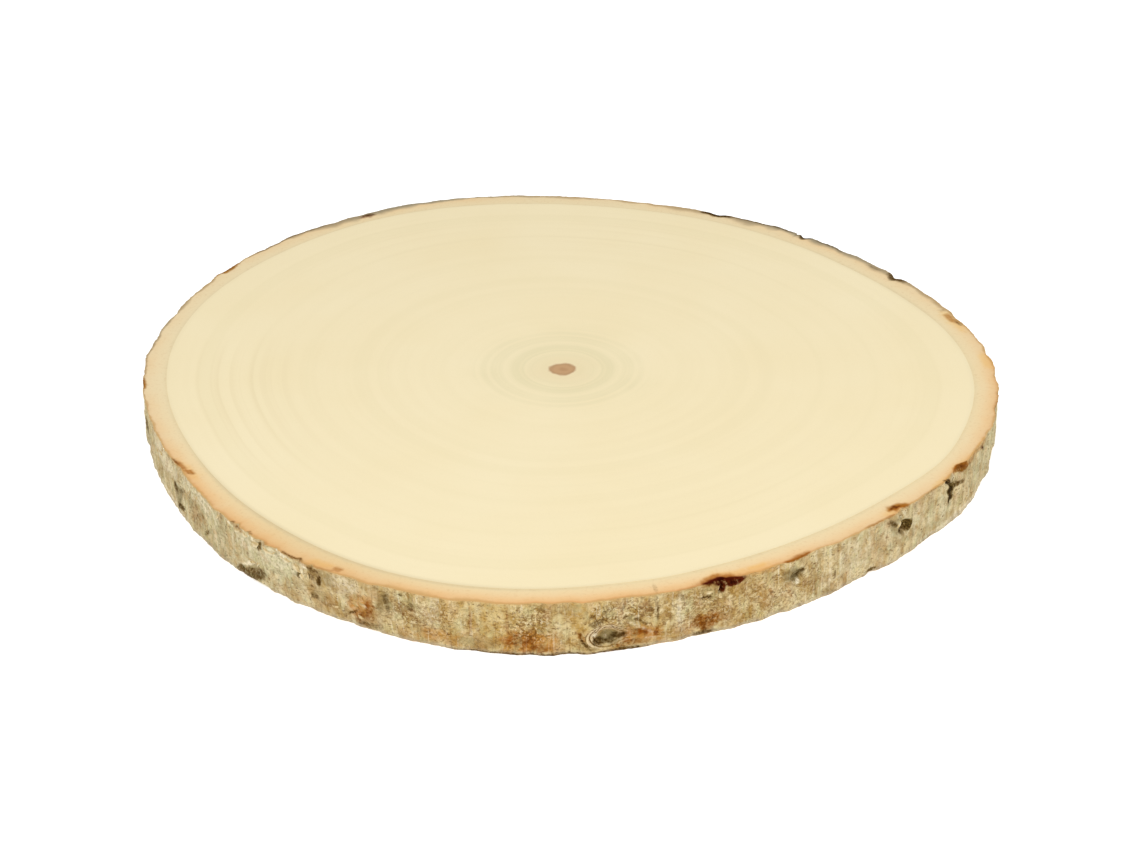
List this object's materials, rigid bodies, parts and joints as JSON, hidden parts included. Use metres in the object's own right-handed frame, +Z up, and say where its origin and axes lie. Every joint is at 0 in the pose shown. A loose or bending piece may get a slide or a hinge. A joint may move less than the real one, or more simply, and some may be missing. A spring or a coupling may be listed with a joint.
{
  "type": "poplar wood slice",
  "caption": "Flat round cut across a poplar log, bark left on, with smooth pale sawn faces; lies flat as a serving board, stand or craft blank.",
  "frame": {"origin": "middle of the slice's outline, on its flat sawn underside", "axes": "+Z up out of the upper sawn face, along the log's grain; +X to the right and +Y away from the viewer in the reference view"},
  "size_m": [0.3554, 0.3548, 0.022],
  "materials": {
    "poplar_wood": "sawn and sanded, unfinished",
    "poplar_bark": "natural dry bark"
  },
  "bodies": {
    "root": {"wood_slice": "poplar_wood"}
  },
  "joints": []
}
